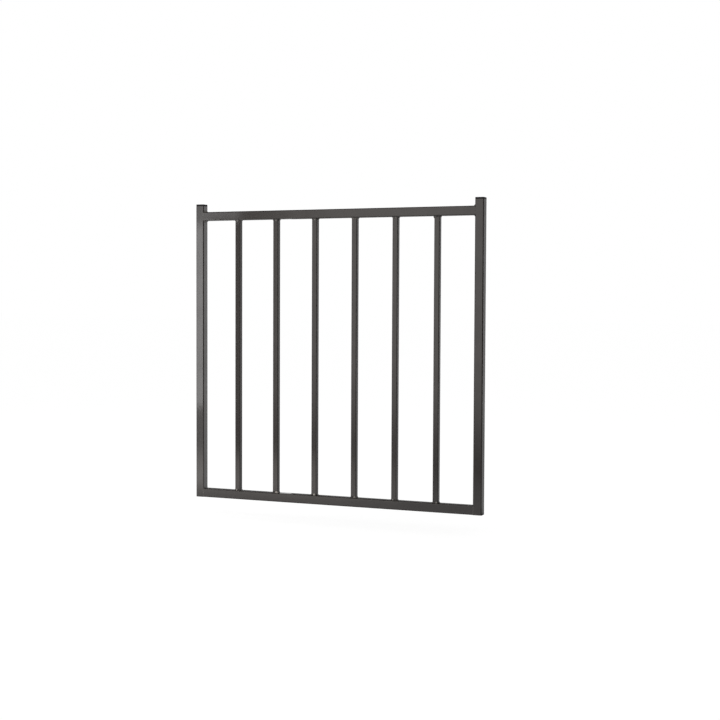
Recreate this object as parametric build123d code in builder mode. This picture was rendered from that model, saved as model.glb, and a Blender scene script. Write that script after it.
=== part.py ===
"""A welded steel fence gate leaf: a square tube frame with six pickets and two plug caps.

The leaf stands in the XZ plane. X runs along the leaf from the hinge stile's outer face, -Y is
the front, and Z is up from the leaf's bottom edge. The origin lies on the hinge stile's outer face.
"""

from build123d import *
from math import atan2, degrees, sqrt
import os

# Overall sizes of the leaf, in millimetres.
leaf_width = 895.0
leaf_height = 870.0
top_rail_drop = 23.0  # from the top of the caps down to the top rail

# The frame is one-inch square tube, rolled with small outer corners.
frame_size = 25.4
frame_wall = 1.5
frame_radius = 2.5

# The pickets are five-eighths square tube of a lighter gauge.
picket_count = 6
picket_size = 15.875
picket_wall = 1.2
picket_radius = 1.8
least_inner_radius = 0.2

# Plastic plug caps close the tops of the stiles.
cap_head = 5.0
cap_edge = 1.2  # rounding round the top of the head
cap_parting = 0.4  # chamfer that leaves a shadow line over the tube
plug_depth = 20.0
plug_clearance = 1.6  # from the tube's bore to the plug's skirt
plug_wall = 1.8
fin_count = 4
fin_thickness = 1.0
fin_clearance = 0.15  # from the tube's bore to the fins' rims
lead_in = 1.0  # chamfer at the plug's mouth

# Fillet welds across the rails' ends, above and beneath the top rail and above the bottom rail.
rail_bead_leg = {"top": 5.0, "bottom": 3.0}
rail_bead_hollow = 2.5  # radius of the bead's hollow face over its leg
rail_bead_inset = 0.3  # from the tube's corner to the end of a bead
rail_bead_taper = 1.2
seam_reach = 1.8  # width of the flush seam that fills the stile's rounded corner

# A fillet weld runs right round each end of a picket.
picket_bead_leg = 2.6  # across the rail's flat, short of its rounded corners
picket_bead_rise = 4.5  # up the picket
picket_bead_lip = 0.25  # thickness left at the bead's edge
picket_bead_swell = 0.7  # share of the leg kept half way up, more than half for a full bead

# Places that follow from the sizes.
tube_top = leaf_height - cap_head
top_rail_z = leaf_height - top_rail_drop - frame_size / 2
bottom_rail_z = frame_size / 2
rail_length = leaf_width - 2 * frame_size
picket_foot_z = bottom_rail_z + frame_size / 2
picket_head_z = top_rail_z - frame_size / 2
picket_pitch = (leaf_width - frame_size) / (picket_count + 1)
stile_x = {"hinge": frame_size / 2, "latch": leaf_width - frame_size / 2}
rail_z = {"top": top_rail_z, "bottom": bottom_rail_z}
picket_x = [stile_x["hinge"] + picket_pitch * n for n in range(1, picket_count + 1)]


def save(part, label):
    """Label one finished piece and write it to its own file."""
    part.label = label
    export_step(part, f"parts/{label}.step")


def square_tube(plane, length, size, wall, radius):
    """A square tube that runs along the plane's normal from the plane's origin."""
    bore = size - 2 * wall
    with BuildPart() as tube:
        with BuildSketch(plane):
            RectangleRounded(size, size, radius)
            RectangleRounded(bore, bore, max(radius - wall, least_inner_radius), mode=Mode.SUBTRACT)
        extrude(amount=length)
    return tube.part


def plug_cap(x):
    """A push-in cap: a square head on the tube's end and a hollow finned plug in its bore."""
    bore = frame_size - 2 * frame_wall
    bore_radius = max(frame_radius - frame_wall, least_inner_radius)
    skirt = bore - 2 * plug_clearance
    fin = bore - 2 * fin_clearance
    fin_pitch = (plug_depth - fin_thickness) / fin_count
    with BuildPart() as cap:
        with BuildSketch(Plane((x, 0, tube_top))):
            RectangleRounded(frame_size, frame_size, frame_radius)
        extrude(amount=cap_head)
        fillet(cap.faces().sort_by(Axis.Z)[-1].edges(), cap_edge)
        chamfer(cap.faces().sort_by(Axis.Z)[0].edges(), cap_parting)
        with BuildSketch(Plane((x, 0, tube_top))):
            Rectangle(skirt, skirt)
        extrude(amount=-plug_depth)
        chamfer(cap.faces().sort_by(Axis.Z)[0].edges(), lead_in)
        for n in range(fin_count):
            with BuildSketch(Plane((x, 0, tube_top - fin_pitch * (n + 0.5)))):
                RectangleRounded(fin, fin, bore_radius)
            extrude(amount=-fin_thickness)
        with BuildSketch(Plane((x, 0, tube_top))):
            Rectangle(skirt - 2 * plug_wall, skirt - 2 * plug_wall)
        extrude(amount=-plug_depth, mode=Mode.SUBTRACT)
    return cap.part


def rail_bead(plane, leg):
    """A fillet bead across a rail's end, with a hollow face and tapered ends.

    The plane's X lies along the rail and its Y along the stile.
    """
    length = frame_size - 2 * (frame_radius + rail_bead_inset)
    with BuildPart() as bead:
        with BuildSketch(plane):
            with BuildLine():
                Line((0, 0), (leg, 0))
                RadiusArc((leg, 0), (0, leg), leg * rail_bead_hollow)
                Line((0, leg), (0, 0))
            make_face()
        extrude(amount=length / 2, both=True)
        chamfer(bead.edges().filter_by(GeomType.CIRCLE), rail_bead_taper)
    return bead.part


def corner_seam(x, side, face, centre_z):
    """The weld that fills a stile's rounded corner flush beside the end of a rail.

    side is +1 where the rail runs towards +X, and face is -1 at the front and +1 at the back.
    """
    joint_x = x + side * frame_size / 2
    face_y = face * frame_size / 2
    with BuildPart() as seam:
        with BuildSketch(Plane.XY.offset(centre_z - frame_size / 2)):
            with Locations((joint_x - side * seam_reach / 2, face_y - face * seam_reach / 2)):
                Rectangle(seam_reach, seam_reach)
            with Locations((joint_x - side * frame_radius, face_y - face * frame_radius)):
                Circle(frame_radius, mode=Mode.SUBTRACT)
        extrude(amount=frame_size)
        # The ends of the seam follow the rail's rounded outline.
        with BuildSketch(Plane((joint_x, 0, centre_z), x_dir=(0, 1, 0), z_dir=(1, 0, 0))):
            RectangleRounded(frame_size, frame_size, frame_radius)
        extrude(amount=frame_size / 2, both=True, mode=Mode.INTERSECT)
    return seam.part


def rail_weld(stile, rail):
    """The beads and flush seams that join one end of a rail to a stile."""
    side = 1 if stile == "hinge" else -1
    joint_x = stile_x[stile] + side * frame_size / 2
    edges = (1, -1) if rail == "top" else (1,)
    with BuildPart() as weld:
        for up in edges:
            corner = (joint_x, 0, rail_z[rail] + up * frame_size / 2)
            add(rail_bead(Plane(corner, x_dir=(side, 0, 0), z_dir=(0, -up * side, 0)), rail_bead_leg[rail]))
        for face in (-1, 1):
            add(corner_seam(stile_x[stile], side, face, rail_z[rail]))
    return weld.part


def picket_weld(x):
    """The bead that runs round the foot of a picket, from the rail's flat up the picket's walls.

    It is laid in two slopes, steeper and then flatter, and cuts off the picket's corners.
    """
    foot = Plane((x, 0, picket_foot_z))
    step = picket_bead_rise / 2
    thickness = [picket_bead_leg, picket_bead_leg * picket_bead_swell, picket_bead_lip]
    with BuildPart() as weld:
        for n in range(2):
            size = picket_size + 2 * thickness[n]
            with BuildSketch(foot.offset(n * step)) as outline:
                Rectangle(size, size)
                chamfer(outline.vertices(), (picket_radius + thickness[n]) * (2 - sqrt(2)))
            extrude(amount=step, taper=degrees(atan2(thickness[n] - thickness[n + 1], step)))
        with BuildSketch(foot):
            RectangleRounded(picket_size, picket_size, picket_radius)
        extrude(amount=picket_bead_rise, mode=Mode.SUBTRACT)
    return weld.part


def at_head(foot_weld):
    """The same bead, mirrored from the foot of a picket to its head."""
    with BuildPart() as weld:
        mirror(foot_weld, about=Plane.XY.offset((picket_foot_z + picket_head_z) / 2))
    return weld.part


os.makedirs("parts", exist_ok=True)

for stile, x in stile_x.items():
    save(square_tube(Plane((x, 0, 0)), tube_top, frame_size, frame_wall, frame_radius), f"{stile}_stile")
    save(plug_cap(x), f"{stile}_stile_cap")

for rail, z in rail_z.items():
    start = Plane((frame_size, 0, z), x_dir=(0, 1, 0), z_dir=(1, 0, 0))
    save(square_tube(start, rail_length, frame_size, frame_wall, frame_radius), f"{rail}_rail")
    for stile in stile_x:
        save(rail_weld(stile, rail), f"{rail}_rail_{stile}_weld")

for number, x in enumerate(picket_x, start=1):
    foot = Plane((x, 0, picket_foot_z))
    length = picket_head_z - picket_foot_z
    save(square_tube(foot, length, picket_size, picket_wall, picket_radius), f"picket_{number}")
    foot_weld = picket_weld(x)
    save(foot_weld, f"picket_{number}_foot_weld")
    save(at_head(foot_weld), f"picket_{number}_head_weld")
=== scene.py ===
"""Dresses a welded steel fence gate leaf of square tube for a studio render.

The gate's own frame is kept throughout, in metres: X runs along the leaf from the hinge stile's
outer face, -Y is out of the leaf's front, and Z is up from its bottom edge. The tubes and the plug
caps keep their solids and get their finishes here. The welds are laid again as rippled beads.
"""

import logging
import math
from collections.abc import Iterable, Mapping, Sequence
from dataclasses import dataclass, field
from enum import Enum
from typing import Any

import bpy
from mathutils import Euler, Matrix, Vector, noise


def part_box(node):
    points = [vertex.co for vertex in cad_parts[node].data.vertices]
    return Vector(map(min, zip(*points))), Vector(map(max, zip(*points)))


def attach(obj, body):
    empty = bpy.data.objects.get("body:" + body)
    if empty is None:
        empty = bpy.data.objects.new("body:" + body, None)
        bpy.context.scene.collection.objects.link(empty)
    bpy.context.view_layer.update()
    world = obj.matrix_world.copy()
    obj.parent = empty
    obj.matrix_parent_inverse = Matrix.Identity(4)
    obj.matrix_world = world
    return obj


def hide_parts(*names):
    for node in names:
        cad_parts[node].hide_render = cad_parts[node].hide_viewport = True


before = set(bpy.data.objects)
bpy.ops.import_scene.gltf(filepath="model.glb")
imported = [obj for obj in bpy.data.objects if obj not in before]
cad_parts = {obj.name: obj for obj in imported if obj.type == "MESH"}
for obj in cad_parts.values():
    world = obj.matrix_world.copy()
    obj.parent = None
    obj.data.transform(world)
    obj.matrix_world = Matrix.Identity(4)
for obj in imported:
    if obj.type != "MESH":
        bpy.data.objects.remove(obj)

log = logging.getLogger("fence_gate")

MM = 0.001

Colour = tuple[float, float, float, float]
WHITE: Colour = (1.0, 1.0, 1.0, 1.0)

NOISE_LOW = 0.3  # nearly all of a noise texture's values lie between these two
NOISE_HIGH = 0.7

DIAGONAL = 0.7  # share of a lift out of a right-angled corner that goes along each of its sides


# Small tools


def linear(hex_colour: str) -> Colour:
    """Turns an sRGB hex colour into linear light.

    Args:
        hex_colour: A colour such as "#3a3836".

    Returns:
        Red, green, blue and alpha, from 0 to 1.
    """
    parts = [int(hex_colour[i : i + 2], 16) / 255 for i in (1, 3, 5)]
    red, green, blue = (c / 12.92 if c <= 0.04045 else ((c + 0.055) / 1.055) ** 2.4 for c in parts)
    return red, green, blue, 1.0


def per_metre(size_mm: float) -> float:
    """Gives the scale of a noise whose features are about size_mm across."""
    return 1.0 / (size_mm * MM)


def add_node(
    tree: bpy.types.NodeTree,
    kind: str,
    settings: Mapping[str, Any] | None = None,
    inputs: Mapping[str | int, Any] | None = None,
) -> bpy.types.Node:
    """Adds one node to a tree, sets it up and links it.

    Args:
        tree: The node tree that takes the node.
        kind: The node's type, such as "ShaderNodeTexNoise".
        settings: The node's own properties.
        inputs: Its inputs by name or number. A socket is linked, and any other value is set.

    Returns:
        The new node.
    """
    made = tree.nodes.new(kind)
    for name, value in (settings or {}).items():
        setattr(made, name, value)
    for name, value in (inputs or {}).items():
        if isinstance(value, bpy.types.NodeSocket):
            tree.links.new(value, made.inputs[name])
        else:
            made.inputs[name].default_value = value
    return made


def seen_ray(tree: bpy.types.NodeTree) -> bpy.types.NodeSocket:
    """Tells rays that see a surface, straight or by way of gloss or glass, from rays that only light.

    Args:
        tree: The node tree that takes the nodes.

    Returns:
        A socket that gives 1 for a ray that sees and 0 for one that only lights.
    """
    path = add_node(tree, "ShaderNodeLightPath").outputs
    seen = path["Is Camera Ray"]
    for other in ("Is Glossy Ray", "Is Transmission Ray"):
        inputs = {0: seen, 1: path[other]}
        seen = add_node(tree, "ShaderNodeMath", {"operation": "MAXIMUM"}, inputs).outputs[0]
    return seen


def new_material(name: str) -> tuple[bpy.types.Material, bpy.types.NodeTree]:
    """Makes an empty node material.

    Args:
        name: The finish's name.

    Returns:
        The material and its node tree.
    """
    material = bpy.data.materials.new(name)
    material.use_nodes = True
    material.node_tree.nodes.clear()
    return material, material.node_tree


# Finishes


@dataclass(frozen=True)
class PowderCoat:
    """Satin near-black polyester powder, sprayed on steel tube and baked.

    It gives an even, slightly soft gloss. The skin has a faint orange peel, and the gloss drifts a
    little along each tube where the film is thicker.
    """

    name: str = "polyester_powder_coat_baked_satin_black"
    thin_film: str = "#272220"
    thick_film: str = "#221e1c"
    gloss_low: float = 0.17
    gloss_high: float = 0.22
    drift_mm: float = 45.0
    peel_mm: float = 2.2  # real peel is about 1 mm across; drawn twice as coarse so that it shows
    peel_height_mm: float = 0.018

    def build(self) -> bpy.types.Material:
        """Builds the material.

        Returns:
            The powder coat's material.
        """
        material, tree = new_material(self.name)
        place = add_node(tree, "ShaderNodeTexCoord").outputs["Object"]
        drift = add_node(
            tree,
            "ShaderNodeTexNoise",
            inputs={"Vector": place, "Scale": per_metre(self.drift_mm), "Detail": 3.0, "Roughness": 0.55},
        ).outputs["Fac"]
        peel = add_node(
            tree,
            "ShaderNodeTexNoise",
            inputs={"Vector": place, "Scale": per_metre(self.peel_mm), "Detail": 1.0, "Roughness": 0.4},
        ).outputs["Fac"]
        colour = add_node(
            tree,
            "ShaderNodeMix",
            {"data_type": "RGBA"},
            {0: drift, 6: linear(self.thin_film), 7: linear(self.thick_film)},
        ).outputs[2]
        gloss = add_node(
            tree,
            "ShaderNodeMapRange",
            inputs={
                "Value": drift,
                "From Min": NOISE_LOW,
                "From Max": NOISE_HIGH,
                "To Min": self.gloss_low,
                "To Max": self.gloss_high,
            },
        ).outputs["Result"]
        bump = add_node(
            tree,
            "ShaderNodeBump",
            inputs={"Height": peel, "Distance": self.peel_height_mm * MM, "Strength": 1.0},
        ).outputs["Normal"]
        shader = add_node(
            tree,
            "ShaderNodeBsdfPrincipled",
            inputs={"Base Color": colour, "Roughness": gloss, "IOR": 1.5, "Normal": bump},
        )
        add_node(tree, "ShaderNodeOutputMaterial", inputs={"Surface": shader.outputs["BSDF"]})
        return material


@dataclass(frozen=True)
class WeldCoat:
    """The same powder over the welds, where it runs thick into the valleys.

    It gives beads that are near black in their valleys and along their toes, with lighter and
    glossier lumps, whose lighter colour is a painted highlight that stands in for the lamps' glints.
    How much of that highlight shows at each point is painted on the bead as a point attribute.
    """

    name: str = "polyester_powder_coat_over_mig_weld"
    valley: str = "#242120"
    # the colour of the painted highlight on the beads' crowns and lumps
    crown: str = "#ccc6be"
    rough_valley: float = 0.45
    rough_crown: float = 0.3
    valley_bend: float = 0.46  # the Geometry node's Pointiness in a valley
    crown_bend: float = 0.53  # and on a crown
    valley_share: float = 0.3  # how much of the painted highlight shows in a valley
    grit_mm: float = 0.9
    grit_height_mm: float = 0.03

    def build(self) -> bpy.types.Material:
        """Builds the material.

        Returns:
            The welds' material.
        """
        material, tree = new_material(self.name)
        place = add_node(tree, "ShaderNodeTexCoord").outputs["Object"]
        grit = add_node(
            tree,
            "ShaderNodeTexNoise",
            inputs={"Vector": place, "Scale": per_metre(self.grit_mm), "Detail": 2.0, "Roughness": 0.5},
        ).outputs["Fac"]
        edge = add_node(tree, "ShaderNodeNewGeometry").outputs["Pointiness"]
        raised = add_node(
            tree,
            "ShaderNodeMapRange",
            inputs={
                "Value": edge,
                "From Min": self.valley_bend,
                "From Max": self.crown_bend,
                "To Min": self.valley_share,
                "To Max": 1.0,
            },
        ).outputs["Result"]
        # the painted highlight's share at each point, kept off the valleys by their bend
        highlight_share = add_node(tree, "ShaderNodeAttribute", {"attribute_name": "highlight_share"}).outputs["Fac"]
        highlight_mask = add_node(tree, "ShaderNodeMath", {"operation": "MULTIPLY"}, {0: highlight_share, 1: raised}).outputs[0]
        colour = add_node(
            tree,
            "ShaderNodeMix",
            {"data_type": "RGBA"},
            {0: highlight_mask, 6: linear(self.valley), 7: linear(self.crown)},
        ).outputs[2]
        rough = add_node(
            tree,
            "ShaderNodeMapRange",
            inputs={"Value": highlight_mask, "To Min": self.rough_valley, "To Max": self.rough_crown},
        ).outputs["Result"]
        bump = add_node(
            tree,
            "ShaderNodeBump",
            inputs={"Height": grit, "Distance": self.grit_height_mm * MM, "Strength": 1.0},
        ).outputs["Normal"]
        shader = add_node(
            tree,
            "ShaderNodeBsdfPrincipled",
            inputs={"Base Color": colour, "Roughness": rough, "IOR": 1.5, "Normal": bump},
        )
        add_node(tree, "ShaderNodeOutputMaterial", inputs={"Surface": shader.outputs["BSDF"]})
        return material


@dataclass(frozen=True)
class CapPlastic:
    """Black polyethylene, injection moulded in a spark-eroded mould.

    It gives a flatter and deeper black than the powder coat, with a fine dull grain.
    """

    name: str = "polyethylene_moulded_black"
    body: str = "#161516"
    rubbed: str = "#1c1b1c"
    roughness_low: float = 0.6
    roughness_high: float = 0.7
    specular: float = 0.25  # the grain's pits swallow part of the gloss
    cloud_mm: float = 9.0
    grain_mm: float = 0.8  # real grain is about 0.1 mm; drawn coarser so that it shows
    grain_height_mm: float = 0.01

    def build(self) -> bpy.types.Material:
        """Builds the material.

        Returns:
            The plug caps' material.
        """
        material, tree = new_material(self.name)
        place = add_node(tree, "ShaderNodeTexCoord").outputs["Object"]
        cloud = add_node(
            tree,
            "ShaderNodeTexNoise",
            inputs={"Vector": place, "Scale": per_metre(self.cloud_mm), "Detail": 4.0},
        ).outputs["Fac"]
        grain = add_node(
            tree,
            "ShaderNodeTexNoise",
            inputs={"Vector": place, "Scale": per_metre(self.grain_mm), "Detail": 2.0},
        ).outputs["Fac"]
        colour = add_node(
            tree,
            "ShaderNodeMix",
            {"data_type": "RGBA"},
            {0: cloud, 6: linear(self.body), 7: linear(self.rubbed)},
        ).outputs[2]
        rough = add_node(
            tree,
            "ShaderNodeMapRange",
            inputs={
                "Value": cloud,
                "From Min": NOISE_LOW,
                "From Max": NOISE_HIGH,
                "To Min": self.roughness_low,
                "To Max": self.roughness_high,
            },
        ).outputs["Result"]
        bump = add_node(
            tree,
            "ShaderNodeBump",
            inputs={"Height": grain, "Distance": self.grain_height_mm * MM, "Strength": 1.0},
        ).outputs["Normal"]
        shader = add_node(
            tree,
            "ShaderNodeBsdfPrincipled",
            inputs={
                "Base Color": colour,
                "Roughness": rough,
                "IOR": 1.5,
                "Specular IOR Level": self.specular,
                "Normal": bump,
            },
        )
        add_node(tree, "ShaderNodeOutputMaterial", inputs={"Surface": shader.outputs["BSDF"]})
        return material


@dataclass(frozen=True)
class StudioPaper:
    """Matt white studio paper, rolled out under the gate.

    It gives a floor that melts into the white background and keeps a faint shadow of the gate.
    """

    name: str = "studio_paper_matt_white"
    colour: str = "#f6f6f6"
    shadow_share: float = 0.25  # how much of its look still comes from the light that falls on it
    whiteness: float = 1.1  # makes up for what that share lacks of white

    def build(self) -> bpy.types.Material:
        """Builds the material.

        Returns:
            The floor's material.
        """
        material, tree = new_material(self.name)
        share = add_node(
            tree,
            "ShaderNodeMath",
            {"operation": "MULTIPLY"},
            {0: seen_ray(tree), 1: 1.0 - self.shadow_share},
        ).outputs[0]
        paper = add_node(tree, "ShaderNodeBsdfDiffuse", inputs={"Color": linear(self.colour)})
        glow = add_node(tree, "ShaderNodeEmission", inputs={"Color": WHITE, "Strength": self.whiteness})
        look = add_node(
            tree,
            "ShaderNodeMixShader",
            inputs={0: share, 1: paper.outputs["BSDF"], 2: glow.outputs["Emission"]},
        )
        add_node(tree, "ShaderNodeOutputMaterial", inputs={"Surface": look.outputs["Shader"]})
        return material


@dataclass(frozen=True)
class Finishes:
    """The finishes of the whole gate, built once each."""

    coat: bpy.types.Material
    weld: bpy.types.Material
    cap: bpy.types.Material

    @classmethod
    def build(cls) -> "Finishes":
        """Builds every finish.

        Returns:
            The finishes.
        """
        return cls(PowderCoat().build(), WeldCoat().build(), CapPlastic().build())


# Parts of the gate


class Stile(Enum):
    """The two upright ends of the leaf, and which way the rails run from each."""

    HINGE = 1
    LATCH = -1

    @property
    def word(self) -> str:
        """The stile's name in lower case."""
        return self.name.lower()


class Rail(Enum):
    """The two rails."""

    TOP = "top"
    BOTTOM = "bottom"


class PicketEnd(Enum):
    """The two ends of a picket, and which way the picket runs from each."""

    FOOT = 1
    HEAD = -1

    @property
    def word(self) -> str:
        """The end's name in lower case."""
        return self.name.lower()


def finish_node(node: str, material: bpy.types.Material) -> None:
    """Gives one solid its finish.

    Args:
        node: The solid's name.
        material: The finish.
    """
    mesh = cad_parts[node].data
    mesh.materials.clear()
    mesh.materials.append(material)
    log.info("%s wears %s", node, material.name)


@dataclass
class Tubework:
    """The bare tube frame: stiles, rails and pickets, which keep their solids."""

    picket_count: int = 6

    def names(self) -> list[str]:
        """Lists the tubes' names."""
        ends = [f"{s.word}_stile" for s in Stile] + [f"{r.value}_rail" for r in Rail]
        return ends + [f"picket_{n}" for n in range(1, self.picket_count + 1)]

    def dress(self, finishes: Finishes) -> None:
        """Gives every tube the powder coat.

        Args:
            finishes: The gate's finishes.
        """
        for name in self.names():
            finish_node(name, finishes.coat)


@dataclass
class PlugCaps:
    """The plug caps on the stiles' tops, which keep their solids."""

    def dress(self, finishes: Finishes) -> None:
        """Gives both caps the moulded plastic.

        Args:
            finishes: The gate's finishes.
        """
        for stile in Stile:
            finish_node(f"{stile.word}_stile_cap", finishes.cap)


@dataclass(frozen=True)
class Station:
    """One place along a weld: where it is, and its two legs."""

    corner: Vector  # on the line where the two tubes meet
    out: Vector  # unit direction of the leg that lies on the tube that carries the weld
    up: Vector  # unit direction of the leg that climbs the other tube
    along: float  # distance run so far, in metres
    share: float  # local size of the bead
    highlight_share: float  # how much painted highlight the crown takes here


@dataclass
class Laid:
    """One bead's mesh data: points, faces and how much painted highlight each point takes."""

    points: list[Vector] = field(default_factory=list)
    faces: list[tuple[int, ...]] = field(default_factory=list)
    highlight_share: list[float] = field(default_factory=list)

    def span(self, rows: int, ribs: int, closed: bool) -> None:
        """Spans faces between the rows of points.

        Args:
            rows: How many rows of points there are.
            ribs: How many points a row has.
            closed: Whether the last row joins the first.
        """
        for i in range(rows if closed else rows - 1):
            j = (i + 1) % rows
            for k in range(ribs - 1):
                a, b = i * ribs + k, j * ribs + k
                self.faces.append((a, b, b + 1, a + 1))


@dataclass
class Bead:
    """One rippled weld bead, laid along a line of stations."""

    leg: float  # reach over the tube that carries it, in metres
    rise: float  # reach up the other tube
    seed: float  # moves its ripples and its unevenness along
    fullness: float = 0.55  # 0 is a flat face and 1 is a quarter round
    ripple_pitch: float = 2.3 * MM
    ripple_height: float = 0.16 * MM
    ripple_lead: float = 1.6 * MM  # how far the middle of a ripple runs ahead of its ends
    ripple_breadth: float = 0.7  # an exponent: under 1 the crests are broad and the valleys narrow
    ripple_middle: float = 0.6  # what is taken off the ripples so that they lie about the bead's face
    unevenness: float = 0.16
    uneven_length: float = 7 * MM
    bite: float = 0.2 * MM  # how far its edges sink into the tubes
    highlight_breadth: float = 0.7  # an exponent: under 1 the painted highlight reaches nearer to the toes
    ribs: int = 9
    flat: float = 1.0  # reach at which the carrying tube's corner rounds away; 1 m is past any bead
    tube_radius: float = 2.5 * MM
    toe_share: float = 0.9  # how much of the tube's rounded corner the toe may follow

    def toe_drop(self, reach: float) -> float:
        """Gives how far the carrying tube's rounded corner has dropped at a reach."""
        over = min(max(0.0, reach - self.flat), self.toe_share * self.tube_radius)
        return self.tube_radius - math.sqrt(self.tube_radius**2 - over**2)

    def lay(self, stations: Sequence[Station], closed: bool) -> Laid:
        """Lays the bead.

        Args:
            stations: The places along the weld, in order.
            closed: Whether the last place joins the first.

        Returns:
            The bead.
        """
        laid = Laid()
        shift = Vector((self.seed, 0, 0))
        for station in stations:
            swell = self.unevenness * noise.noise(station.corner / self.uneven_length + shift)
            leg = self.leg * (station.share * (1 + swell))
            rise = self.rise * station.share * (1 - swell)
            highlight_share = min(1.0, max(0.0, station.highlight_share))
            for k in range(self.ribs):
                t = k / (self.ribs - 1)
                crown = math.sin(math.pi * t)
                straight = Vector((t, 1 - t))
                quarter = Vector((math.sin(t * math.pi / 2), math.cos(t * math.pi / 2)))
                shape = straight.lerp(quarter, self.fullness)
                lead = self.ripple_lead * (1 - (2 * t - 1) ** 2)
                phase = (station.along + lead) / self.ripple_pitch + self.seed
                ripple = abs(math.sin(math.pi * phase)) ** self.ripple_breadth - self.ripple_middle
                lift = self.ripple_height * ripple * crown * min(1.0, station.share)
                x = leg * shape.x - self.bite * (1 - t) + lift * DIAGONAL
                y = rise * shape.y - self.bite * t + lift * DIAGONAL
                y -= self.toe_drop(x) * t
                laid.points.append(station.corner + station.out * x + station.up * y)
                # the painted highlight fades out towards the toes
                laid.highlight_share.append(highlight_share * crown**self.highlight_breadth)
        laid.span(len(stations), self.ribs, closed)
        return laid


def weld_piece(
    name: str,
    parts: Iterable[Laid],
    replaces: str,
    material: bpy.types.Material,
) -> None:
    """Joins beads into one smooth piece that stands for a weld's solid.

    Args:
        name: The piece's name.
        parts: The beads.
        replaces: The solid that it stands for.
        material: The welds' finish.
    """
    whole = Laid()
    for part in parts:
        base = len(whole.points)
        whole.points += part.points
        whole.highlight_share += part.highlight_share
        whole.faces += [tuple(i + base for i in face) for face in part.faces]
    mesh = bpy.data.meshes.new(name)
    mesh.from_pydata([tuple(p) for p in whole.points], [], whole.faces)
    # carries the painted highlight's share to the welds' finish
    mesh.attributes.new("highlight_share", "FLOAT", "POINT").data.foreach_set("value", whole.highlight_share)
    mesh.validate()
    mesh.shade_smooth()
    mesh.materials.append(material)
    piece = bpy.data.objects.new(name, mesh)
    bpy.context.scene.collection.objects.link(piece)
    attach(piece, "root")
    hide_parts(replaces)
    log.info("%s: %d faces, stands for %s", name, len(whole.faces), replaces)


@dataclass(frozen=True)
class Lump:
    """A spot where the welder paused: the bead piles up there, with a pit at either side of it.

    Its pile takes a painted highlight, and its pits lose the bead's, which paints them darker.
    """

    picket: int
    end: PicketEnd
    x: float  # from the picket's axis, in metres
    y: float
    reach: float
    swell: float  # how much larger the bead gets
    shine: float  # how much painted highlight its crown takes
    pit_place: float = 1.7  # how far out the pits lie, over the reach
    pit_width: float = 0.55  # over the reach
    pit_depth: float = 0.35  # over the swell
    pit_highlight_loss: float = 0.3  # how much of the painted highlight the pits lose, which paints them darker

    def effect(self, offset: Vector) -> tuple[float, float]:
        """Gives what the lump adds to the bead at a place.

        Args:
            offset: The place, from the picket's axis.

        Returns:
            What it adds to the bead's size and to its painted highlight.
        """
        away = math.hypot(offset.x - self.x, offset.y - self.y) / self.reach
        hill = math.exp(-(away**2))
        pit = math.exp(-(((away - self.pit_place) / self.pit_width) ** 2))
        size = self.swell * hill - self.pit_depth * self.swell * pit
        highlight_gain = self.shine * hill - self.pit_highlight_loss * pit
        return size, highlight_gain


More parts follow.
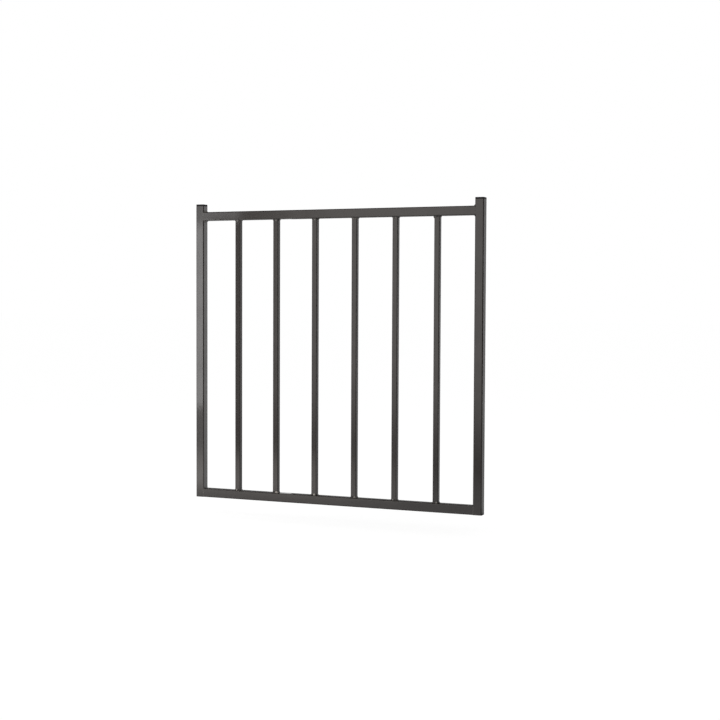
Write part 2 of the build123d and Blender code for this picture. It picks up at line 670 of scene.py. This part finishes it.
@dataclass
class PicketWelds:
    """The beads that run right round each end of each picket."""

    picket_count: int = 6
    tube_radius: float = 1.8 * MM
    rail_flat: float = 2.2 * MM  # from the picket's front to where the rail's corner rounds away
    step: float = 0.4 * MM
    corner_reach: float = 1.6 * MM  # how far from the picket's corner the bead starts to narrow
    corner_pinch: float = 0.3  # how much narrower it is on the corner
    blob_length: float = 5 * MM
    blob_swell: float = 0.22
    blob_shift: float = 3.1  # gives each picket's welds blobs of their own
    ripple_shift: float = 1.7  # and ripples that start elsewhere
    # how much painted highlight the beads' crowns take at the pickets' feet and at their heads
    foot_highlight_share: float = 0.12
    head_highlight_share: float = 0.17
    lumps: tuple[Lump, ...] = (
        # The picket, its end, the place from its axis, the reach, the swell and the shine
        Lump(1, PicketEnd.FOOT, -1.5 * MM, -8.0 * MM, 2.0 * MM, 0.35, 0.9),
        Lump(2, PicketEnd.FOOT, 5.0 * MM, -8.0 * MM, 3.6 * MM, 0.5, 1.4),
        Lump(3, PicketEnd.FOOT, 2.0 * MM, -8.0 * MM, 3.0 * MM, 0.36, 1.1),
        Lump(4, PicketEnd.FOOT, 4.5 * MM, -8.0 * MM, 3.2 * MM, 0.3, 0.5),
        Lump(5, PicketEnd.FOOT, -2.0 * MM, -8.0 * MM, 2.4 * MM, 0.25, 0.4),
        Lump(6, PicketEnd.FOOT, 4.0 * MM, -8.0 * MM, 2.2 * MM, 0.3, 0.6),
        Lump(1, PicketEnd.HEAD, 0.0, -8.0 * MM, 3.5 * MM, 0.25, 0.08),
        Lump(2, PicketEnd.HEAD, 3.0 * MM, -8.0 * MM, 3.0 * MM, 0.25, 0.04),
        Lump(3, PicketEnd.HEAD, 2.0 * MM, -8.0 * MM, 3.2 * MM, 0.3, 0.08),
        Lump(5, PicketEnd.HEAD, 3.5 * MM, -8.0 * MM, 3.0 * MM, 0.25, 0.06),
        Lump(6, PicketEnd.HEAD, -8.0 * MM, 0.0, 7.5 * MM, 0.85, 0.1),
    )

    def outline(self, centre: Vector, half: float) -> list[tuple[Vector, Vector, float, float]]:
        """Walks round a picket's outline.

        Args:
            centre: The middle of the picket at the weld.
            half: Half the picket's width.

        Returns:
            At each step the point, the outward direction, the distance run, and how near it is to
            a corner, from 0 to 1.
        """
        flat = half - self.tube_radius
        side, arc = 2 * flat, self.tube_radius * math.pi / 2
        total = 4 * (side + arc)
        count = round(total / self.step)
        walk = []
        for i in range(count):
            run = i * total / count
            quarter, rest = divmod(run, side + arc)
            turn = Matrix.Rotation(quarter * math.pi / 2, 3, "Z")
            if rest < side:
                point = Vector((rest - flat, -half, 0))
                out = Vector((0, -1, 0))
                corner = max(0.0, 1 - min(rest, side - rest) / self.corner_reach)
            else:
                angle = (rest - side) / self.tube_radius
                out = Vector((math.sin(angle), -math.cos(angle), 0))
                point = Vector((flat, -flat, 0)) + out * self.tube_radius
                corner = 1.0
            walk.append((centre + turn @ point, turn @ out, run, corner))
        return walk

    def bead(self, number: int, end: PicketEnd) -> Laid:
        """Lays the bead round one end of one picket, with the legs that its solid has.

        Args:
            number: The picket's number, from the hinge stile.
            end: Which end.

        Returns:
            The bead.
        """
        low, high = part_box(f"picket_{number}")
        weld_low, weld_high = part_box(f"picket_{number}_{end.word}_weld")
        centre = (low + high) / 2
        centre.z = low.z if end is PicketEnd.FOOT else high.z
        up = Vector((0, 0, end.value))
        shift = Vector((0, number * self.blob_shift, end.value))
        base_highlight_share = self.foot_highlight_share if end is PicketEnd.FOOT else self.head_highlight_share
        lumps = [lump for lump in self.lumps if lump.picket == number and lump.end is end]
        stations = []
        for point, out, run, corner in self.outline(centre, (high.x - low.x) / 2):
            blob = noise.noise(point / self.blob_length + shift)
            effects = [lump.effect(point - centre) for lump in lumps]
            swell = 1 + self.blob_swell * blob + sum(size for size, highlight_gain in effects)
            # the painted highlight varies at random along the bead and rises on the lumps
            highlight_share = base_highlight_share * (1 + blob) + sum(highlight_gain for size, highlight_gain in effects)
            stations.append(Station(point, out, up, run, (1 - self.corner_pinch * corner) * swell, highlight_share))
        leg = weld_high.x - high.x
        rise = weld_high.z - weld_low.z
        bead = Bead(leg, rise, number * self.ripple_shift + end.value, flat=self.rail_flat)
        return bead.lay(stations, closed=True)

    def build(self, finishes: Finishes) -> None:
        """Lays and finishes every bead.

        Args:
            finishes: The gate's finishes.
        """
        for number in range(1, self.picket_count + 1):
            for end in PicketEnd:
                node = f"picket_{number}_{end.word}_weld"
                weld_piece(f"bead_{node}", [self.bead(number, end)], node, finishes.weld)


@dataclass
class RailWelds:
    """The beads across the rails' ends, and the seams that fill the stiles' rounded corners."""

    tube_radius: float = 2.5 * MM
    step: float = 0.4 * MM
    fullness: float = 0.12
    ripple_pitch: float = 2.6 * MM
    ripple_height: float = 0.2 * MM
    ripple_shift: float = 2.3  # starts each stile's ripples elsewhere
    taper: float = 2.5 * MM  # how far from its ends a bead starts to narrow
    tip: float = 0.05 * MM  # how far past its ends it would come to nothing
    # how much painted highlight the beads' and seams' crowns take
    highlight_share: float = 0.1
    lit_bead: tuple[Stile, Rail, int] = (Stile.HINGE, Rail.TOP, 1)  # the one that takes a stronger painted highlight
    lit_bead_share: float = 0.35
    seam_ribs: int = 9
    seam_crown: float = 0.06 * MM
    seam_sink: float = 0.08 * MM  # how far its edges lie under the tubes' faces
    seam_lap: float = 1.2 * MM  # on to the rail
    seam_overrun: float = 0.5 * MM  # past the stile's rounded corner
    seam_drop: float = 1.6 * MM  # how far its ends may follow the rail's rounded corner
    wave_length: float = 3 * MM
    wave_middle: float = 0.8  # the crown's usual height, over seam_crown
    wave_swell: float = 0.5  # how far it strays from that

    def joint_x(self, stile: Stile, rail: Rail) -> float:
        """Gives where a rail's end meets a stile."""
        low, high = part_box(f"{rail.value}_rail")
        return low.x if stile is Stile.HINGE else high.x

    def leg(self, stile: Stile, rail: Rail) -> float:
        """Gives a bead's leg, which is how far the weld's solid reaches along the rail."""
        low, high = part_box(f"{rail.value}_rail_{stile.word}_weld")
        return abs((high.x if stile is Stile.HINGE else low.x) - self.joint_x(stile, rail))

    def cross_bead(self, stile: Stile, rail: Rail, up: int) -> Laid:
        """Lays one bead across the end of a rail.

        Args:
            stile: The stile that the rail meets.
            rail: The rail.
            up: 1 for the bead over the rail and -1 for the bead under it.

        Returns:
            The bead.
        """
        low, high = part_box(f"{rail.value}_rail")
        joint_x = self.joint_x(stile, rail)
        edge_z = high.z if up > 0 else low.z
        length = high.y - low.y - 2 * self.tube_radius
        count = round(length / self.step)
        along_rail, along_stile = Vector((stile.value, 0, 0)), Vector((0, 0, up))
        highlight_share = self.lit_bead_share if (stile, rail, up) == self.lit_bead else self.highlight_share
        stations = []
        for i in range(count + 1):
            run = i * length / count
            share = math.sqrt(min(1.0, (min(run, length - run) + self.tip) / self.taper))
            corner = Vector((joint_x, low.y + self.tube_radius + run, edge_z))
            stations.append(Station(corner, along_rail, along_stile, run, share, highlight_share))
        leg = self.leg(stile, rail)
        bead = Bead(
            leg,
            leg,
            up + stile.value * self.ripple_shift,
            fullness=self.fullness,
            ripple_pitch=self.ripple_pitch,
            ripple_height=self.ripple_height,
        )
        return bead.lay(stations, closed=False)

    def seam(self, stile: Stile, rail: Rail, face: int) -> Laid:
        """Lays the seam that fills the groove beside a rail's end.

        Args:
            stile: The stile that the rail meets.
            rail: The rail.
            face: -1 for the front and 1 for the back.

        Returns:
            The seam.
        """
        low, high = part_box(f"{rail.value}_rail")
        joint_x = self.joint_x(stile, rail)
        face_y = high.y if face > 0 else low.y
        length = high.z - low.z
        width = self.seam_lap + self.tube_radius + self.seam_overrun
        count = round(length / self.step)
        laid = Laid()
        for i in range(count + 1):
            z = low.z + i * length / count
            short = max(0.0, self.tube_radius - min(z - low.z, high.z - z))
            drop = self.tube_radius - math.sqrt(max(0.0, self.tube_radius**2 - short**2))
            for k in range(self.seam_ribs):
                t = k / (self.seam_ribs - 1)
                x = joint_x + stile.value * (self.seam_lap - t * width)
                wave = noise.noise(Vector((x, 0, z)) / self.wave_length + Vector((0, face, 0)))
                height = self.wave_middle + self.wave_swell * wave
                proud = self.seam_crown * math.sin(math.pi * t) * height - self.seam_sink
                laid.points.append(Vector((x, face_y + face * (proud - min(drop, self.seam_drop)), z)))
                laid.highlight_share.append(self.highlight_share * (1 + wave))
        laid.span(count + 1, self.seam_ribs, closed=False)
        return laid

    def build(self, finishes: Finishes) -> None:
        """Lays and finishes the welds at all four corners.

        Args:
            finishes: The gate's finishes.
        """
        for rail in Rail:
            for stile in Stile:
                node = f"{rail.value}_rail_{stile.word}_weld"
                ups = (1, -1) if rail is Rail.TOP else (1,)
                parts = [self.cross_bead(stile, rail, up) for up in ups]
                parts += [self.seam(stile, rail, face) for face in (-1, 1)]
                weld_piece(f"bead_{node}", parts, node, finishes.weld)


# Studio


@dataclass(frozen=True)
class SoftBox:
    """A rectangular soft light that the camera doesn't see."""

    name: str
    centre: tuple[float, float, float]
    aim: tuple[float, float, float]  # the point that it faces
    width: float
    height: float
    radiance: float
    colour: str

    def build(self) -> None:
        """Hangs the light, with the power that gives a flat lamp of its size its radiance."""
        lamp = bpy.data.lights.new(self.name, "AREA")
        lamp.color = linear(self.colour)[:3]
        lamp.shape = "RECTANGLE"
        lamp.size, lamp.size_y = self.width, self.height
        lamp.energy = self.radiance * math.pi * self.width * self.height
        holder = bpy.data.objects.new(self.name, lamp)
        holder.location = self.centre
        facing = Vector(self.aim) - Vector(self.centre)
        holder.rotation_euler = facing.to_track_quat("-Z", "Y").to_euler()
        holder.visible_camera = False
        bpy.context.scene.collection.objects.link(holder)
        log.info("light %s", self.name)


@dataclass(frozen=True)
class StageCloth:
    """Brushed cotton molton.

    The black swallows light and gives the flats that the gloss mirrors as dark lines along the
    tubes' corners. The grey keeps the rail's upper face from mirroring a bare white room. The pale
    grey dims the white floor that the tubes' sides and the feet of their fronts mirror.
    """

    name: str
    nap: str
    fold: str
    fold_mm: float = 180.0

    def build(self) -> bpy.types.Material:
        """Builds the material.

        Returns:
            The cloth's material.
        """
        material, tree = new_material(self.name)
        place = add_node(tree, "ShaderNodeTexCoord").outputs["Object"]
        folds = add_node(
            tree,
            "ShaderNodeTexNoise",
            inputs={"Vector": place, "Scale": per_metre(self.fold_mm), "Detail": 1.0},
        ).outputs["Fac"]
        colour = add_node(
            tree,
            "ShaderNodeMix",
            {"data_type": "RGBA"},
            {0: folds, 6: linear(self.nap), 7: linear(self.fold)},
        ).outputs[2]
        shader = add_node(tree, "ShaderNodeBsdfDiffuse", inputs={"Color": colour})
        add_node(tree, "ShaderNodeOutputMaterial", inputs={"Surface": shader.outputs["BSDF"]})
        return material


@dataclass(frozen=True)
class CurtainSet:
    """Cloth flats, floor cloths and a roof, out of the camera's sight, that only the gloss mirrors.

    The room stays open in front, where the key light hangs, and at the back right, where the
    tubes' side faces mirror the white background.
    """

    left: float = -3.4
    right: float = 3.4
    front: float = -3.7
    back: float = 3.4
    base: float = -0.045  # just over the floor
    top: float = 3.2
    key_right: float = 0.15  # the right flats start here, beside the key light
    key_left: tuple[float, float] = (-1.6, -3.6)  # and the left flats here
    left_bend: float = -1.6  # where the left flats reach the left side of the room
    back_opening: tuple[float, float] = (0.3, 2.06)
    front_edge: float = -1.7  # where the pale cloth in front meets the black one
    # The back edge of the black cloth, from right to left
    floor_edge: tuple[tuple[float, float], ...] = ((3.4, 0.0), (0.95, 0.0), (0.95, -1.0), (-3.4, -1.25))
    # The black cloth under the leaf
    under_x: tuple[float, float] = (-0.4, 1.3)
    under_y: tuple[float, float] = (-0.06, 0.3)

    def hang(
        self,
        name: str,
        points: Sequence[tuple[float, float, float]],
        faces: Sequence[Sequence[int]],
        material: bpy.types.Material,
    ) -> None:
        """Hangs one piece of cloth.

        Args:
            name: The cloth's name.
            points: Its corners.
            faces: Its faces.
            material: Its cloth.
        """
        mesh = bpy.data.meshes.new(name)
        mesh.from_pydata(points, [], faces)
        mesh.materials.append(material)
        cloth = bpy.data.objects.new(name, mesh)
        cloth.visible_camera = False
        cloth.visible_diffuse = False
        cloth.visible_shadow = False
        bpy.context.scene.collection.objects.link(cloth)
        log.info("cloth %s", name)

    def flats(
        self,
        name: str,
        footprint: Sequence[tuple[float, float]],
        material: bpy.types.Material,
    ) -> None:
        """Stands a row of flats on the floor.

        Args:
            name: The row's name.
            footprint: The line along which it stands.
            material: Its cloth.
        """
        count = len(footprint)
        points = [(x, y, z) for z in (self.base, self.top) for x, y in footprint]
        faces = [(i, i + 1, count + i + 1, count + i) for i in range(count - 1)]
        self.hang(name, points, faces, material)

    def sheet(
        self,
        name: str,
        across: tuple[float, float],
        deep: tuple[float, float],
        height: float,
        material: bpy.types.Material,
    ) -> None:
        """Spreads a level rectangle of cloth.

        Args:
            name: The cloth's name.
            across: Where it starts and ends along the leaf.
            deep: Where it starts and ends from front to back.
            height: Its height.
            material: Its cloth.
        """
        corners = [(across[0], deep[0]), (across[1], deep[0]), (across[1], deep[1]), (across[0], deep[1])]
        self.hang(name, [(x, y, height) for x, y in corners], [(0, 1, 2, 3)], material)

    def build(self) -> None:
        """Stands the flats, lays the floor cloths and spreads the roof."""
        black = StageCloth("cotton_molton_black", "#141414", "#0b0b0b").build()
        grey = StageCloth("cotton_molton_grey", "#8f8f8f", "#878787").build()
        pale = StageCloth("cotton_molton_pale_grey", "#d6d6d6", "#cecece").build()
        whole_width = (self.left, self.right)
        opening_left, opening_right = self.back_opening
        right_line = [
            (self.key_right, self.front),
            (self.right, self.front),
            (self.right, self.back),
            (opening_right, self.back),
        ]
        self.flats("right_flats", right_line, black)
        left_line = [self.key_left, (self.left, self.left_bend), (self.left, self.back)]
        self.flats("left_flats", left_line, black)
        self.flats("back_flat", [(self.left, self.back), (opening_left, self.back)], grey)
        floor = [(self.left, self.front_edge), (self.right, self.front_edge), *self.floor_edge]
        floor_faces = [(1, 2, 3, 4), (4, 5, 0, 1)]
        self.hang("floor_cloth", [(x, y, self.base) for x, y in floor], floor_faces, black)
        self.sheet("front_cloth", whole_width, (self.front, self.front_edge), self.base, pale)
        self.sheet("roof_cloth", whole_width, (self.front, self.back), self.top, black)
        self.sheet("under_cloth", self.under_x, self.under_y, self.base, black)
        self.sheet("back_cloth", whole_width, (self.under_y[1], self.back), self.base, pale)


@dataclass(frozen=True)
class Studio:
    """White background, white floor, soft lights and the view settings."""

    floor_height: float = -0.05
    floor_size: float = 80.0
    ambient: float = 0.75  # the world's strength for rays that only light
    boxes: tuple[SoftBox, ...] = (
        # The large light in front
        SoftBox("key", (-0.76, -3.3, 1.3), (-0.76, 0.0, 1.3), 1.74, 2.7, 1.06, "#fff7f0"),
        # Small lights that the gloss shows as bands on the hinge stile and the bottom rail
        SoftBox("stile_strip", (-0.132, -0.262, 0.54), (0.014, -0.0127, 0.54), 0.07, 0.59, 4.7, "#ffffff"),
        SoftBox("foot_strip", (-0.132, -0.262, 0.12), (0.014, -0.0127, 0.12), 0.07, 0.24, 1.25, "#ffffff"),
        SoftBox("side_strip", (0.16, 0.26, 0.44), (0.0254, 0.0, 0.44), 0.07, 0.96, 0.72, "#ffffff"),
        SoftBox("low_card", (-0.08, -0.42, -0.04), (0.0, 0.0, 0.1), 0.7, 0.25, 1.2, "#fff7f0"),
        SoftBox("low_card_right", (0.385, -0.42, -0.04), (0.465, 0.0, 0.1), 0.23, 0.25, 0.6, "#fff7f0"),
        # Lights for the stiles' outer sides
        SoftBox("right_window", (3.3, 0.1, 1.2), (0.895, 0.0, 0.6), 1.0, 2.4, 1.6, "#ffffff"),
        SoftBox("left_window", (-3.3, 0.3, 1.2), (0.0, 0.0, 0.6), 1.0, 2.4, 1.6, "#ffffff"),
        # A band across the top of the hinge stile
        SoftBox("corner_card", (-0.08, -0.262, 0.87), (0.05, -0.0127, 0.87), 0.16, 0.06, 2.2, "#ffffff"),
    )

    def floor(self) -> None:
        """Rolls out the floor."""
        half = self.floor_size / 2
        mesh = bpy.data.meshes.new("floor")
        corners = [(-half, -half), (half, -half), (half, half), (-half, half)]
        mesh.from_pydata([(x, y, self.floor_height) for x, y in corners], [], [(0, 1, 2, 3)])
        mesh.materials.append(StudioPaper().build())
        floor = bpy.data.objects.new("floor", mesh)
        bpy.context.scene.collection.objects.link(floor)

    def world(self) -> None:
        """Makes the world white where it is seen and dimmer where it only lights."""
        world = bpy.data.worlds.new("studio")
        world.use_nodes = True
        tree = world.node_tree
        tree.nodes.clear()
        light = add_node(tree, "ShaderNodeBackground", inputs={"Color": WHITE, "Strength": self.ambient})
        backdrop = add_node(tree, "ShaderNodeBackground", inputs={"Color": WHITE, "Strength": 1.0})
        look = add_node(
            tree,
            "ShaderNodeMixShader",
            inputs={0: seen_ray(tree), 1: light.outputs["Background"], 2: backdrop.outputs["Background"]},
        )
        add_node(tree, "ShaderNodeOutputWorld", inputs={"Surface": look.outputs["Shader"]})
        bpy.context.scene.world = world

    def build(self) -> None:
        """Sets up the whole studio."""
        self.floor()
        self.world()
        for box in self.boxes:
            box.build()
        CurtainSet().build()
        bpy.context.scene.view_settings.view_transform = "Standard"


@dataclass(frozen=True)
class PhotoCamera:
    """The camera where the photograph was taken from."""

    position: tuple[float, float, float] = (2.0802, -3.6221, 0.5844)
    yaw: float = 0.40536  # turned left from the leaf's normal, in radians
    pitch: float = 0.04199  # tilted down
    roll: float = 0.00439
    focal_px: float = 1389.75
    image_px: int = 720
    sensor_mm: float = 36.0
    clip_end: float = 200.0

    def build(self) -> None:
        """Sets up the camera."""
        lens = bpy.data.cameras.new("photo_camera")
        lens.sensor_width = self.sensor_mm
        lens.lens = self.focal_px * self.sensor_mm / self.image_px
        lens.clip_end = self.clip_end
        holder = bpy.data.objects.new("photo_camera", lens)
        aim = Euler((math.pi / 2 - self.pitch, 0.0, self.yaw)).to_matrix()
        turn = aim @ Matrix.Rotation(self.roll, 3, "Z")
        holder.matrix_world = Matrix.Translation(self.position) @ turn.to_4x4()
        bpy.context.scene.collection.objects.link(holder)
        bpy.context.scene.camera = holder
        log.info("camera at %s", self.position)


def main() -> None:
    """Dresses the gate and sets up the studio."""
    logging.basicConfig(level=logging.INFO, format="%(name)s: %(message)s")
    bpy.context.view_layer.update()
    PhotoCamera().build()
    Studio().build()
    finishes = Finishes.build()
    Tubework().dress(finishes)
    PlugCaps().dress(finishes)
    PicketWelds().build(finishes)
    RailWelds().build(finishes)


if __name__ == "__main__":
    main()
